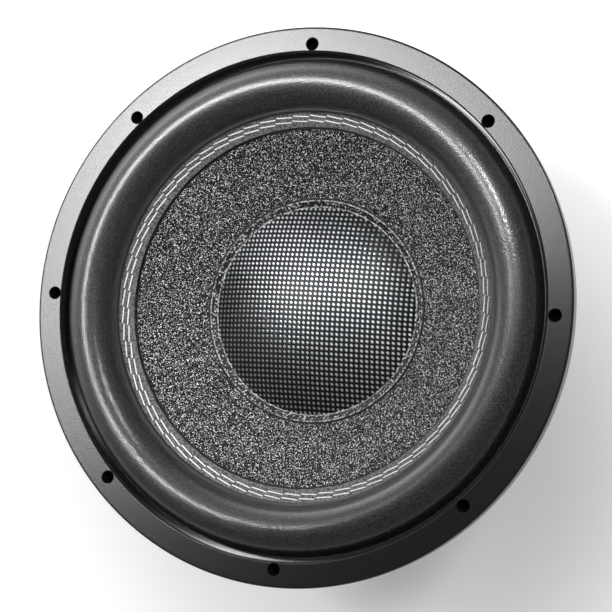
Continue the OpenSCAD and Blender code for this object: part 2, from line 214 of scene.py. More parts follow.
def settle(piece):
    pick(piece)
    bpy.ops.object.transform_apply(location=True, rotation=True, scale=True)


def copyOf(piece, name):
    twin = piece.copy()
    twin.data = piece.data.copy()
    twin.name = name
    bpy.context.collection.objects.link(twin)
    return twin


# copies of a piece turned round Z and joined into it
def repeatRound(piece, angles):
    twins = [copyOf(piece, piece.name + ".copy") for _ in angles[1:]]
    for twin, angle in zip([piece] + twins, angles):
        twin.rotation_euler = (0, 0, math.radians(angle))
    pick(*twins, piece)
    bpy.ops.object.join()
    settle(piece)


# a ring of soft material, with its placement baked into its mesh
def blendRing(piece):
    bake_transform(piece)


def dress(piece, material):
    piece.data.materials.clear()
    piece.data.materials.append(material)


# two strip softboxes with grids hang at the upper left and graze the rim, so their light thins out
# towards the lower right; two small ones put short shines on the roll, and a fill reaches the cone
studio = {
    "lamps": {
        "leftSoftbox": {
            "place": (-492, 102, 763), "aim": (-147, -13, 29), "edge": (0.28, 0.96, -0.02),
            "size": (0.425, 0.19), "spread": 21, "power": 0.099,
        },
        "topSoftbox": {
            "place": (-184, 270, 775), "aim": (110, 115, 41), "edge": (0.9, -0.19, 0.4),
            "size": (0.42, 0.2), "spread": 28, "power": 0.168,
        },
        "smallSoftbox": {
            "place": (235, 417, 944), "aim": (111, 64, 17), "edge": (0.86, 0.5, 0),
            "size": (0.2, 0.12), "spread": 45, "power": 0.25, "fill": False,
        },
        "lowSoftbox": {
            "place": (-318, 28, 856), "aim": (-65, -91, 45), "edge": (0.77, 0.58, 0.27),
            "size": (0.1, 0.08), "spread": 12, "power": 0.008,
        },
        "rightFill": {
            "place": (430, 200, 650), "aim": (-110, -40, -10), "edge": (0, 1, 0),
            "size": (0.2, 0.2), "spread": 40, "power": 0.4, "glint": False,
        },
    },
    "wallSide": (-0.74, 0.67, 0.0), "wallReach": (0.2, 0.95), "wallFade": 2.5,
    "wallFoot": (0.04, 0.16), "wallTop": (0.3, 0.6), "topLevel": 0.2,
    "airDim": 0.15, "airBright": 3.4, "airColor": "#ffffff",
    "floorZ": -148.2, "floorSize": 30, "floorGlow": 0.75,
    # painted shade on the floor: under the object, centred off towards the lower right, the white lift
    # is held low
    "paintedShade": {"center": (0, -70, 0), "inner": 90, "outer": 270, "least": 0.2},
}


# place and aim in mm, size in m; edge is the way that the lamp's first side runs,
# fill is what it gives matt surfaces and glint what is mirrored of it
def addSoftbox(name, place, aim, edge, size, spread, power, fill=True, glint=True):
    back = (Vector(place) - Vector(aim)).normalized()
    across = Vector(edge) - Vector(edge).dot(back) * back
    across.normalize()
    bpy.ops.object.light_add(type="AREA")
    lamp = bpy.context.object
    lamp.name = name
    lamp.data.shape = "RECTANGLE"
    lamp.data.size, lamp.data.size_y = size
    lamp.data.spread = math.radians(spread)
    lamp.data.energy = power
    lamp.visible_diffuse = fill
    lamp.visible_glossy = glint
    turn = Matrix((across, back.cross(across), back)).transposed()
    lamp.matrix_world = Matrix.Translation(Vector(place) * mm) @ turn.to_4x4()


for name, lamp in studio["lamps"].items():
    addSoftbox(name, **lamp)

# a lit white wall on the side of the softboxes, a dim room on the other
air = bpy.data.worlds.new("studioAir")
air.use_nodes = True
bpy.context.scene.world = air
airTree = air.node_tree
sight = addNode(airTree, "TexCoord").outputs["Generated"]
wall = addNode(airTree, "VectorMath", {0: sight, 1: studio["wallSide"]}, operation="DOT_PRODUCT")
wall = addNode(airTree, "MapRange", {
    "Value": wall.outputs["Value"],
    "From Min": studio["wallReach"][0], "From Max": studio["wallReach"][1],
})
wall = addNode(airTree, "Math", {0: wall.outputs[0], 1: studio["wallFade"]}, operation="POWER")
# the lit part of the wall starts a little above the table and fades towards the ceiling
height = addNode(airTree, "SeparateXYZ", {0: sight}).outputs["Z"]
foot = addNode(airTree, "MapRange", {
    "Value": height, "From Min": studio["wallFoot"][0], "From Max": studio["wallFoot"][1],
})
wall = addNode(airTree, "Math", {0: wall.outputs[0], 1: foot.outputs[0]}, operation="MULTIPLY")
top = addNode(airTree, "MapRange", {
    "Value": height, "From Min": studio["wallTop"][0], "From Max": studio["wallTop"][1],
    "To Min": 1.0, "To Max": studio["topLevel"],
})
wall = addNode(airTree, "Math", {0: wall.outputs[0], 1: top.outputs[0]}, operation="MULTIPLY")
airLevel = addNode(airTree, "MapRange", {
    "Value": wall.outputs[0], "To Min": studio["airDim"], "To Max": studio["airBright"],
})
airTree.nodes["Background"].inputs["Color"].default_value = hexColor(studio["airColor"])
plug(airTree, airTree.nodes["Background"], Strength=airLevel.outputs[0])

# matt white paper sheet; what the camera and mirrors see of it is lifted to white and the real shadow
# stays, but under the object a painted shade holds the lift low
paper, tree, shader = newMaterial(
    "mattStudioPaper", Base_Color="#f2f2f2", Roughness=0.9, Emission_Color="#ffffff",
)
rays = addNode(tree, "LightPath").outputs
seen = addNode(tree, "Math", {
    0: rays["Is Camera Ray"], 1: rays["Is Glossy Ray"],
}, operation="MAXIMUM")
seen = addNode(tree, "Math", {
    0: seen.outputs[0], 1: rays["Is Transmission Ray"],
}, operation="MAXIMUM")
# painted shade: round a point under the object, off towards the lower right, the lift falls away, so the
# sheet shows darker there whatever the lamps do
paintedShade = studio["paintedShade"]
reach = addNode(tree, "VectorMath", {
    0: addNode(tree, "TexCoord").outputs["Object"],
    1: [v * mm for v in paintedShade["center"][:2]] + [studio["floorZ"] * mm],
}, operation="DISTANCE")
paintedShadeLift = addNode(tree, "MapRange", {
    "Value": reach.outputs["Value"],
    "From Min": paintedShade["inner"] * mm, "From Max": paintedShade["outer"] * mm,
    "To Min": paintedShade["least"], "To Max": studio["floorGlow"],
}, interpolation_type="SMOOTHSTEP")
glow = addNode(tree, "Math", {0: seen.outputs[0], 1: paintedShadeLift.outputs[0]}, operation="MULTIPLY")
plug(tree, shader, Emission_Strength=glow.outputs[0])
clearSelection()
bpy.ops.mesh.primitive_plane_add(size=studio["floorSize"], location=(0, 0, studio["floorZ"] * mm))
floor = bpy.context.object
floor.name = "paperFloor"
settle(floor)
floor.data.materials.append(paper)
print("light and floor set")


# the trim ring on the rim, with its eight holes
trim = {
    "inner": 143.5, "outer": 158, "back": 3.5, "front": 11, "edge": 1.3, "lip": 1.0, "flat": 0.3,
    "holes": 8, "holeCircle": 148, "holeR": 3.5, "holeEdge": 0.35, "flare": 1, "past": 2,
    "around": 256, "holeAround": 40,
    "paint": {
        "grainMm": 0.9, "detail": 2.0,  # flakes, drawn coarser than they are so that they show
        "tones": ("#101010", "#201f1e"), "gloss": (0.18, 0.27), "reliefMm": 0.05, "relief": 0.6,
    },
    # the hole walls' finish is painted shade
    "holeWallShade": {"grainMm": 1.2, "detail": 2.0, "gloss": (0.6, 0.85)},
}
# steel under a satin black paint with flakes: charcoal in the shade, silver where it meets the light
satinPaint = grainFinish("satinCharcoalPaint", trim["paint"], Specular_IOR_Level=0.55)
# punched hole walls: painted shade, a darker and duller black than the face and bare of flakes, so that
# the holes read black
holeWallShadeBlack = grainFinish(
    "holeWallShadeBlack", trim["holeWallShade"], Base_Color="#0b0b0b", Specular_IOR_Level=0.2,
)

edge, lip = trim["edge"], trim["lip"]
outline = (
    [(trim["inner"], trim["back"]), (trim["outer"], trim["back"])]
    + arcPoints((trim["outer"] - edge, trim["front"] - edge), edge, 0, 90, 8)
    + [(trim["outer"] - edge - trim["flat"], trim["front"])]
    + [(trim["inner"] + lip + trim["flat"], trim["front"])]
    + arcPoints((trim["inner"] + lip, trim["front"] - lip), lip, 90, 180, 12)
)
trimRing = spinOutline("trimRing", outline, trim["around"], sharp=40)
# one cutter with a flared mouth makes all the holes
cutter = spinOutline("holeCutter", [
    (0, trim["back"] - trim["past"]), (trim["holeR"], trim["back"] - trim["past"]),
    (trim["holeR"], trim["front"] - trim["holeEdge"]),
    (trim["holeR"] + trim["holeEdge"] + trim["flare"], trim["front"] + trim["flare"]),
    (0, trim["front"] + trim["flare"]),
], trim["holeAround"], closed=False)
cutter.location = (trim["holeCircle"] * mm, 0, 0)
settle(cutter)
repeatRound(cutter, [360 / trim["holes"] * i for i in range(trim["holes"])])
applyModifier(trimRing, "BOOLEAN", operation="DIFFERENCE", object=cutter, solver="EXACT")
bpy.data.objects.remove(cutter)
closeMesh(trimRing, weld=0.005)
bpy.ops.object.shade_smooth_by_angle(angle=math.radians(32))
dress(trimRing, satinPaint)
trimRing.data.materials.append(holeWallShadeBlack)
# the steep faces at the holes' radius are their walls, which take the painted shade black
pitch = 2 * math.pi / trim["holes"]
circle = trim["holeCircle"] * mm
for face in trimRing.data.polygons:
    x, y = face.center[:2]
    turn = pitch * round(math.atan2(y, x) / pitch)
    reach = math.hypot(x - circle * math.cos(turn), y - circle * math.sin(turn))
    if reach < (trim["holeR"] + 0.1) * mm and abs(face.normal.z) < 0.5:
        face.material_index = 1
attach(trimRing, "frame")
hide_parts("trim_ring")

# foam tape behind the flange, pierced by the screws when they go in; it is also a black sheet put behind
# the holes so they show black, standing in for the shade behind them
shadeGasket = {
    "inner": 143, "outer": 153, "thick": 1.6, "round": 0.5, "around": 192,
    "poreMm": 0.9, "poreDepthMm": 0.2,  # pores drawn coarser than they are so that they show
    "tones": ("#060606", "#161616"),
}
# closed-cell foam, skived from a block: soft black with cut pores
foamTape, tree, shader = newMaterial("closedCellFoam", Roughness=0.85, Specular_IOR_Level=0.25)
place = addNode(tree, "TexCoord").outputs["Object"]
pore = addNode(tree, "TexVoronoi", {"Vector": place, "Scale": 1 / (shadeGasket["poreMm"] * mm)})
tone = addNode(tree, "Mix", {
    0: pore.outputs["Distance"], 6: hexColor(shadeGasket["tones"][0]), 7: hexColor(shadeGasket["tones"][1]),
}, data_type="RGBA")
rise = addNode(tree, "Bump", {
    "Height": pore.outputs["Distance"], "Distance": shadeGasket["poreDepthMm"] * mm, "Strength": 0.8,
})
plug(tree, shader, Base_Color=tone.outputs[2], Normal=rise.outputs["Normal"])
soft = shadeGasket["round"]
outline = (
    [(shadeGasket["inner"], 0), (shadeGasket["inner"], soft - shadeGasket["thick"])]
    + arcPoints((shadeGasket["inner"] + soft, soft - shadeGasket["thick"]), soft, 180, 270, 5)[1:]
    + arcPoints((shadeGasket["outer"] - soft, soft - shadeGasket["thick"]), soft, 270, 360, 5)
    + [(shadeGasket["outer"], 0)]
)
shadeGasketRing = spinOutline("baffleShadeGasket", outline, shadeGasket["around"])
dress(shadeGasketRing, foamTape)
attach(shadeGasketRing, "frame")
print("trim ring built")


# the surround: flat lip, half roll and the band that is sewn to the cone
roll = {
    "lipR": 144, "lipZ": 3.5, "center": (126, 3.0), "radius": 14.5, "thick": 1.4,
    "outerFillet": 1.0, "innerFillet": 1.4, "stitchR": 108.9, "stitchZ": -0.4, "slope": 30.5,
    "bandR": 103.2, "bandRows": (108.2, 106.8, 105.4, 104.2), "bandOuter": 110, "lipInner": 141.4,
    "heldOut": 141, "heldIn": 112, "around": 240, "rollSteps": 44, "filletSteps": 6,
    "skin": {
        "grainMm": 0.8, "detail": 0.0,  # pebbles and their painted glints, drawn coarser than they are so that they show
        "spots": (0.45, 0.7), "tones": ("#060605", "#3a3633"), "gloss": (0.38, 0.5),
        "reliefMm": 0.08, "relief": 1.0, "coatRelief": True,
    },
    "lip": {"grainMm": 6, "detail": 2.0, "gloss": (0.05, 0.12)},
    "band": {
        "grainMm": 1.1, "detail": 1.0,  # sanding marks, also drawn coarser
        "spots": (0.38, 0.62), "tones": ("#3a3a3a", "#787878"), "reliefMm": 0.2, "relief": 0.9,
    },
}
# moulded rubber foam with a satin skin: dark graphite, finely pebbled; the pale specks in its colour are
# painted glints of the pebbles
satinFoam = grainFinish(
    "satinRubberFoam", roll["skin"], Specular_IOR_Level=0.8, Coat_Weight=0.8, Coat_Roughness=0.16,
)
# the flat lip is the same rubber pressed against polished steel: nearly a mirror
glossLip = grainFinish(
    "pressedRubberLip", roll["lip"], Base_Color="#1c1b1b", Specular_IOR_Level=1.0,
)
# the sewn band is the same foam pressed flat and sanded for the glue: dull, paler and coarser
sandedFoam = grainFinish("sandedFoamBand", roll["band"], Specular_IOR_Level=0.4, Roughness=0.62)

slope = math.radians(roll["slope"])
along = (math.cos(slope), math.sin(slope))
up = (-math.sin(slope), math.cos(slope))


# height of the band's front at a radius, or of a face that lies deep behind it
def bandZ(r, deep=0.0):
    return roll["stitchZ"] + (r - roll["stitchR"]) * math.tan(slope) - deep / math.cos(slope)


# the roll's section, from the lip to the band's inner edge; both fillets touch the roll's circle
def surroundLine(deep):
    (cx, cz), big = roll["center"], roll["radius"]
    fo, fi, rounds = roll["outerFillet"], roll["innerFillet"], roll["filletSteps"]
    lipZ, stitchR, stitchZ = roll["lipZ"], roll["stitchR"], roll["stitchZ"]
    outerC = (cx + math.sqrt((big + fo) ** 2 - (lipZ + fo - cz) ** 2), lipZ + fo)
    v = (stitchR + fi * up[0] - cx, stitchZ + fi * up[1] - cz)
    dot = v[0] * along[0] + v[1] * along[1]
    u = -dot - math.sqrt(dot ** 2 - v[0] ** 2 - v[1] ** 2 + (big + fi) ** 2)
    innerC = (stitchR + u * along[0] + fi * up[0], stitchZ + u * along[1] + fi * up[1])
    start = math.degrees(math.atan2(outerC[1] - cz, outerC[0] - cx))
    end = math.degrees(math.atan2(innerC[1] - cz, innerC[0] - cx)) % 360
    return (
        [(roll["lipR"], lipZ - deep)]
        + arcPoints(outerC, fo + deep, 270, 180 + start, rounds)
        + arcPoints((cx, cz), big - deep, start, end, roll["rollSteps"])[1:]
        + arcPoints(innerC, fi + deep, end - 180, roll["slope"] - 90, rounds)[1:]
        + [(r, bandZ(r, deep)) for r in roll["bandRows"] + (roll["bandR"],)]
    )


outline = surroundLine(0) + surroundLine(roll["thick"])[::-1]
surround = spinOutline("rollSurround", outline, roll["around"])
dress(surround, satinFoam)
surround.data.materials.append(glossLip)
surround.data.materials.append(sandedFoam)
for face in surround.data.polygons:
    r = math.hypot(face.center.x, face.center.y) / mm
    if r > roll["lipInner"]:
        face.material_index = 1
    elif roll["bandR"] < r < roll["bandOuter"]:
        face.material_index = 2
blendRing(surround)
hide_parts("surround")
print("surround built")


# the two rings of stitches that sew the band to the cone
stitch = {
    "count": 67, "radii": (108.9, 106.4), "gapAngles": (42.9, 43.5), "length": 9.75,
    "threadR": 0.37, "slant": 0.45, "squeeze": 0.8, "sides": 8,
    "layMm": 0.9, "layDepthMm": 0.08,  # twist, drawn coarser than it is so that it shows
}
# twisted white polyester thread, drawn tight: bright matt strands with a fine diagonal lay
threadWhite, tree, shader = newMaterial(
    "twistedPolyesterThread", Base_Color="#f6f6f6", Roughness=0.55,
)
parts = addNode(tree, "SeparateXYZ", {0: addNode(tree, "TexCoord").outputs["Object"]})
turn = addNode(tree, "Math", {0: parts.outputs["Y"], 1: parts.outputs["X"]}, operation="ARCTAN2")
run = addNode(tree, "Math", {
    0: turn.outputs[0], 1: stitch["radii"][0] * 2 * math.pi / stitch["layMm"],
}, operation="MULTIPLY")
lay = addNode(tree, "Math", {
    0: parts.outputs["Z"], 1: 2 * math.pi / (stitch["layMm"] * mm), 2: run.outputs[0],
}, operation="MULTIPLY_ADD")
lay = addNode(tree, "Math", {0: lay.outputs[0]}, operation="SINE")
rise = addNode(tree, "Bump", {
    "Height": lay.outputs[0], "Distance": stitch["layDepthMm"] * mm, "Strength": 0.8,
})
plug(tree, shader, Normal=rise.outputs["Normal"])


# one stitch, laid on the band's slope and repeated round the ring
def stitchRing(name, r, gapAngle):
    half, bulge = stitch["length"] / 2, stitch["threadR"]
    profile = [(0, -half), (0.6 * bulge, -half + 0.12), (0.9 * bulge, -half + 0.5)]
    profile += [(bulge, -half + half * 2 * t) for t in (0.15, 0.3, 0.5, 0.7, 0.85)]
    profile += [(0.9 * bulge, half - 0.5), (0.6 * bulge, half - 0.12), (0, half)]
    piece = spinOutline(name, profile, stitch["sides"], closed=False, sharp=80)
    for v in piece.data.vertices:
        reach = v.co.z / (half * mm)
        lift = (0.55 - 0.75 * abs(reach) ** 5) * bulge * mm  # the ends dive into the needle holes
        side, top = v.co.x + stitch["slant"] * reach * mm, v.co.y * stitch["squeeze"] + lift
        v.co = (
            r * mm + side * along[0] + top * up[0],
            v.co.z,
            bandZ(r) * mm + side * along[1] + top * up[1],
        )
    first = gapAngle + 180 / stitch["count"]
    repeatRound(piece, [first + 360 / stitch["count"] * i for i in range(stitch["count"])])
    closeMesh(piece)
    dress(piece, threadWhite)
    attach(piece, "diaphragm")


names = ("outerStitches", "innerStitches")
for name, r, gapAngle in zip(names, stitch["radii"], stitch["gapAngles"]):
    stitchRing(name, r, gapAngle)
print("stitches built")


# the cone, with a neck that is glued to the coil's former
cone = {
    "edgeR": 109.5, "neckIn": 38.5, "thick": 1.6, "front": 1.5, "neckH": 8,
    "rows": 24, "around": 240,
    "pulp": {
        "grainMm": 0.66, "detail": 1.0, "curl": 0.8,  # fibres and their painted glints, drawn coarser so that they show
        "spots": (0.6, 0.64), "tones": ("#020202", "#f2f2f2"), "gloss": (0.4, 0.7),
        "reliefMm": 0.3, "relief": 0.8,
    },
}
# pressed paper pulp, dyed black and lacquered, with pale fibres curled through it; the pale flecks in
# its colour also stand in for the glints where the fibres stand up, a painted highlight
pulp = grainFinish("pressedPaperPulp", cone["pulp"], Specular_IOR_Level=0.25)

front, back = cone["front"], cone["front"] + cone["thick"]
neckIn, neckOut = cone["neckIn"], cone["neckIn"] + cone["thick"]
neckFoot = bandZ(neckIn, front) - cone["neckH"]
rows = [cone["edgeR"] - (cone["edgeR"] - neckIn) * i / cone["rows"] for i in range(cone["rows"] + 1)]
outline = [(r, bandZ(r, front)) for r in rows]
outline += [(neckIn, neckFoot), (neckOut, neckFoot)]
outline += [(r, bandZ(r, back)) for r in reversed(rows) if r >= neckOut]
paperCone = spinOutline("paperCone", outline, cone["around"])
dress(paperCone, pulp)
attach(paperCone, "diaphragm")
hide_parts("cone")
print("cone built")


# the dust cap, a dome with a flat glued rim
cap = {
    "r": 64.5, "rimW": 3.7, "rimRows": (0.9, 1.8, 2.8), "dome": 16, "thick": 0.8, "front": 0.6,
    "domeSteps": 40, "around": 240, "beadR": 0.35,
    # the bright and dark strand colours and the black gap colour are painted highlight and painted shade
    "towMm": 2.0, "towDepthMm": 0.14, "strands": ("#2e3033", "#e2e4e7"), "paintedGapShade": "#060607",
    "crown": (0.22, 0.68), "resinDip": 0.35,
    "rim": {
        "grainMm": 1.2, "detail": 1.0,  # cut strands, as painted sparkle
        "spots": (0.57, 0.65), "tones": ("#070708", "#b9bbbe"), "reliefMm": 0.3, "relief": 0.8,
    },
    "bead": {
        "grainMm": 1.6, "detail": 1.0,
        "spots": (0.4, 0.6), "tones": ("#3a3b3d", "#c4c6c9"), "reliefMm": 0.3, "relief": 0.8,
    },
}
# aluminised glass cloth in clear resin: flat bundles that cross on the diagonal under a smooth skin; one
# way is painted bright and the other dark, a painted highlight and painted shade for how the two ways
# catch the light, and the gaps between them are painted black shade
weave, tree, shader = newMaterial(
    "resinCoatedWovenFibre", Metallic=1.0, Roughness=0.36, Anisotropic=0.95,
    Coat_Weight=0.5, Coat_Roughness=0.35, Coat_IOR=1.5,
)
bias = addNode(tree, "Mapping", {
    "Vector": addNode(tree, "TexCoord").outputs["Object"], "Rotation": (0, 0, math.radians(45)),
    "Scale": (math.pi / (cap["towMm"] * mm),) * 3,
})
parts = addNode(tree, "SeparateXYZ", {0: bias.outputs[0]})
warp = addNode(tree, "Math", {0: parts.outputs["X"]}, operation="SINE")
weft = addNode(tree, "Math", {0: parts.outputs["Y"]}, operation="SINE")
parity = addNode(tree, "Math", {0: warp.outputs[0], 1: weft.outputs[0]}, operation="MULTIPLY")
over = addNode(tree, "Math", {0: parity.outputs[0], 1: 0.0}, operation="GREATER_THAN")
warpUp = addNode(tree, "Math", {0: warp.outputs[0]}, operation="ABSOLUTE")
weftUp = addNode(tree, "Math", {0: weft.outputs[0]}, operation="ABSOLUTE")
# where the warp is on top its crown runs across, where the weft is on top it runs the other way
warpCrown = addNode(tree, "Math", {0: warpUp.outputs[0], 1: 0.5}, operation="POWER")
warpCrown = addNode(tree, "Math", {
    0: warpCrown.outputs[0], 1: weftUp.outputs[0],
}, operation="MULTIPLY")
weftCrown = addNode(tree, "Math", {0: weftUp.outputs[0], 1: 0.5}, operation="POWER")
weftCrown = addNode(tree, "Math", {
    0: weftCrown.outputs[0], 1: warpUp.outputs[0],
}, operation="MULTIPLY")
crown = addNode(tree, "Mix", {
    0: over.outputs[0], 2: weftCrown.outputs[0], 3: warpCrown.outputs[0],
}, data_type="FLOAT")
strands = addNode(tree, "Mix", {
    0: over.outputs[0], 6: hexColor(cap["strands"][0]), 7: hexColor(cap["strands"][1]),
}, data_type="RGBA")
shown = addNode(tree, "MapRange", {
    "Value": crown.outputs[0], "From Min": cap["crown"][0], "From Max": cap["crown"][1],
})
tone = addNode(tree, "Mix", {
    0: shown.outputs[0], 6: hexColor(cap["paintedGapShade"]), 7: strands.outputs[2],
}, data_type="RGBA")
rise = addNode(tree, "Bump", {
    "Height": crown.outputs[0], "Distance": cap["towDepthMm"] * mm, "Strength": 1.0,
})
skin = addNode(tree, "Bump", {
    "Height": crown.outputs[0], "Distance": cap["towDepthMm"] * mm, "Strength": cap["resinDip"],
})
# each bundle shines across its strands, so the two ways catch the light in different places
across = addNode(tree, "Mix", {
    0: over.outputs[0], 4: (0.707, 0.707, 0), 5: (0.707, -0.707, 0),
}, data_type="VECTOR")
plug(
    tree, shader, Base_Color=tone.outputs[2], Normal=rise.outputs["Normal"],
    Coat_Normal=skin.outputs["Normal"], Tangent=across.outputs[1],
)
# the flat rim is soaked with black glue: gloss black, with bright flecks painted in its colour for cut
# strands breaking through and for their sparkle, partly painted highlight
glueBand = grainFinish("glueSoakedRim", cap["rim"], Roughness=0.35, Specular_IOR_Level=0.5)
# cured resin at the cut edge and the foot of the dome, grey with pale patches; the pale stands in for
# the bright lines these edges show where they catch the light, a painted highlight
resin = grainFinish("curedResinBead", cap["bead"], Roughness=0.2, Coat_Weight=0.6)

capIn = cap["r"] - cap["rimW"]
ball = (capIn ** 2 + cap["dome"] ** 2) / (2 * cap["dome"])
ballZ = bandZ(capIn, cap["front"]) + cap["dome"] - ball
foot = math.degrees(math.acos(capIn / ball))
rimBack = cap["front"] + cap["thick"]
rimRs = [capIn + step for step in cap["rimRows"]] + [cap["r"]]
outline = (
    arcPoints((0, ballZ), ball, 90, foot, cap["domeSteps"])
    + [(r, bandZ(r, cap["front"])) for r in rimRs]
    + [(cap["r"], bandZ(cap["r"], rimBack)), (capIn, bandZ(capIn, rimBack))]
    + arcPoints((0, ballZ), ball - cap["thick"], foot + 0.5, 90, cap["domeSteps"])
)
dustCap = spinOutline("dustCap", outline, cap["around"], sharp=50)
dress(dustCap, weave)
dustCap.data.materials.append(glueBand)
for face in dustCap.data.polygons:
    if math.hypot(face.center.x, face.center.y) > capIn * mm:
        face.material_index = 1
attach(dustCap, "diaphragm")
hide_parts("dust_cap")


# a thin bead round the axis, its middle deep behind the band's front
def addBead(name, r, deep, beadR, material):
    section = arcPoints((r, bandZ(r, deep)), beadR, 0, 330, 11)
    bead = spinOutline(name, section, cap["around"], sharp=80)
    dress(bead, material)
    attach(bead, "diaphragm")


addBead("capEdgeBead", cap["r"] - 0.1, cap["front"], cap["beadR"], resin)
addBead("capFootBead", capIn, cap["front"], cap["beadR"], resin)

glueShadeLines = {
    "capGlueShadeLine": {"r": cap["r"] + 0.8, "beadR": 0.75},
    "bandGlueShadeLine": {"r": roll["bandR"] - 0.45, "beadR": 0.5},
}
glueShadeHaze = {"grainMm": 3, "detail": 1.0, "gloss": (0.35, 0.6)}
# black contact glue squeezed out on the paper, a thin dark line round the cap and inside the sewn band;
# it is also painted shade, the dark line these edges cast on the cone
glueShadeBlack = grainFinish("blackGlueShadeLine", glueShadeHaze, Base_Color="#050505")
for name, line in glueShadeLines.items():
    addBead(name, line["r"], cone["front"], line["beadR"], glueShadeBlack)
print("dust cap built")


# the spider, a cloth pressed into rings that centres the coil
spider = {
    "outR": 96.5, "gluedTo": 91, "waveOut": 86, "waveIn": 44, "inR": 38.5, "z": -57.6, "thick": 0.8,
    "waves": 5, "height": 1.8, "waveSteps": 12, "around": 192,
    "threadMm": 1.3, "threadDepthMm": 0.12,  # threads drawn coarser than they are so that they show
    "stainMm": 14, "tones": ("#7d5722", "#d8ab62"),
}
# cotton cloth dipped in phenolic resin: amber, openly woven, darker where the resin pooled
cloth, tree, shader = newMaterial("phenolicCottonCloth", Roughness=0.75, Sheen_Weight=0.2)
place = addNode(tree, "TexCoord").outputs["Object"]
mesh = addNode(tree, "Mapping", {
    "Vector": place, "Scale": (math.pi / (spider["threadMm"] * mm),) * 3,
})
parts = addNode(tree, "SeparateXYZ", {0: mesh.outputs[0]})
warp = addNode(tree, "Math", {0: parts.outputs["X"]}, operation="SINE")
weft = addNode(tree, "Math", {0: parts.outputs["Y"]}, operation="SINE")
knot = addNode(tree, "Math", {0: warp.outputs[0], 1: weft.outputs[0]}, operation="MULTIPLY")
stain = addNode(tree, "TexNoise", {
    "Vector": place, "Scale": 1 / (spider["stainMm"] * mm), "Detail": 3.0,
})
lift = addNode(tree, "MapRange", {"Value": knot.outputs[0], "From Min": -1.0, "From Max": 1.0})
pooled = addNode(tree, "Math", {
    0: lift.outputs[0], 1: stain.outputs["Fac"],
}, operation="MULTIPLY")
tone = addNode(tree, "Mix", {
    0: pooled.outputs[0], 6: hexColor(spider["tones"][0]), 7: hexColor(spider["tones"][1]),
}, data_type="RGBA")
rise = addNode(tree, "Bump", {
    "Height": knot.outputs[0], "Distance": spider["threadDepthMm"] * mm, "Strength": 0.8,
})
plug(tree, shader, Base_Color=tone.outputs[2], Normal=rise.outputs["Normal"])

waveOut, waveIn = spider["waveOut"], spider["waveIn"]


def clothZ(r):
    if not waveIn < r < waveOut:
        return spider["z"]
    pitch = (waveOut - waveIn) / spider["waves"]
    return spider["z"] + spider["height"] * math.sin(2 * math.pi * (waveOut - r) / pitch)


waveSteps = spider["waves"] * spider["waveSteps"]
waveRs = [waveOut - (waveOut - waveIn) * i / waveSteps for i in range(waveSteps + 1)]
clothRs = [spider["outR"], spider["gluedTo"]] + waveRs + [spider["inR"]]
halfCloth = spider["thick"] / 2
outline = [(r, clothZ(r) + halfCloth) for r in clothRs]
outline += [(r, clothZ(r) - halfCloth) for r in reversed(clothRs)]
spiderCloth = spinOutline("spiderCloth", outline, spider["around"])
dress(spiderCloth, cloth)
blendRing(spiderCloth)
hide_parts("spider")

# the four leads, flat braid laid on the spider
lead = {
    "width": 2.6, "thick": 0.9, "edge": 0.25, "lift": 0.25, "tabEnd": 93, "tabZ": -50.5,
    "formerR": 38.4, "aside": 8.5, "strips": 3,
    "strandMm": 0.8, "strandDepthMm": 0.15,  # strands drawn coarser than they are so that they show
    "tones": ("#7a4a22", "#d59a5f"),
}
# tinsel lead: fine copper strands braided flat, bright on the crowns and brown between them
braid, tree, shader = newMaterial("braidedCopperTinsel", Metallic=1.0, Roughness=0.38)
lay = addNode(tree, "Mapping", {
    "Vector": addNode(tree, "TexCoord").outputs["Object"], "Rotation": (0, 0, math.radians(45)),
    "Scale": (math.pi / (lead["strandMm"] * mm),) * 3,
})
parts = addNode(tree, "SeparateXYZ", {0: lay.outputs[0]})
warp = addNode(tree, "Math", {0: parts.outputs["X"]}, operation="SINE")
weft = addNode(tree, "Math", {0: parts.outputs["Y"]}, operation="SINE")
knot = addNode(tree, "Math", {0: warp.outputs[0], 1: weft.outputs[0]}, operation="MULTIPLY")
lift = addNode(tree, "MapRange", {"Value": knot.outputs[0], "From Min": -1.0, "From Max": 1.0})
tone = addNode(tree, "Mix", {
    0: lift.outputs[0], 6: hexColor(lead["tones"][0]), 7: hexColor(lead["tones"][1]),
}, data_type="RGBA")
rise = addNode(tree, "Bump", {
    "Height": knot.outputs[0], "Distance": lead["strandDepthMm"] * mm, "Strength": 0.9,
})
plug(tree, shader, Base_Color=tone.outputs[2], Normal=rise.outputs["Normal"])


